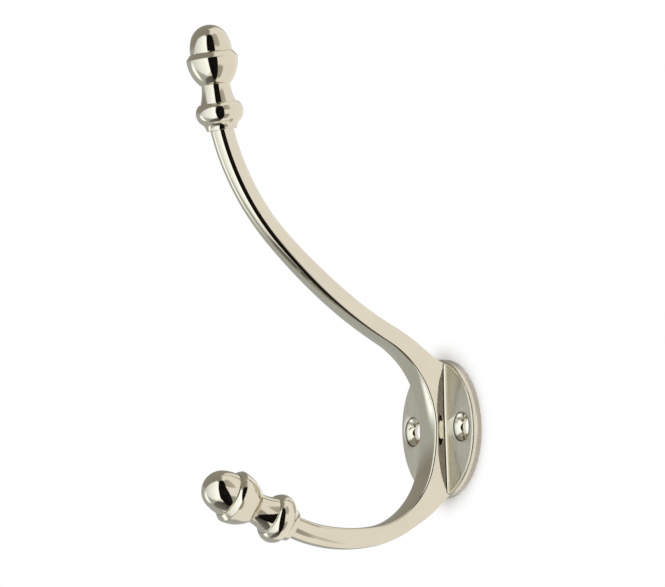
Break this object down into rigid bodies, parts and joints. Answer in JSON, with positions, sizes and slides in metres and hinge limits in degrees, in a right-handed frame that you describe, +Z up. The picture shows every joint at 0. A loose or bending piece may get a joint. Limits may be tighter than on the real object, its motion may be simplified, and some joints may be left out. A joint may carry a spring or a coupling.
{
  "type": "hat and coat hook",
  "caption": "Polished cast hat and coat hook: a round screw-on backplate, a tall hat arm, a short coat arm, and acorn finials.",
  "frame": {"origin": "centre of the backplate's back face, on the wall", "axes": "+Z up along the wall, +Y into the wall, so the hook stands out towards -Y; X across the hook, its plane of symmetry at X = 0"},
  "size_m": [0.04, 0.0806, 0.1496],
  "materials": {
    "polished_nickel": "polished nickel plate on cast brass"
  },
  "bodies": {
    "root": {"hook_casting": "polished_nickel"}
  },
  "joints": []
}
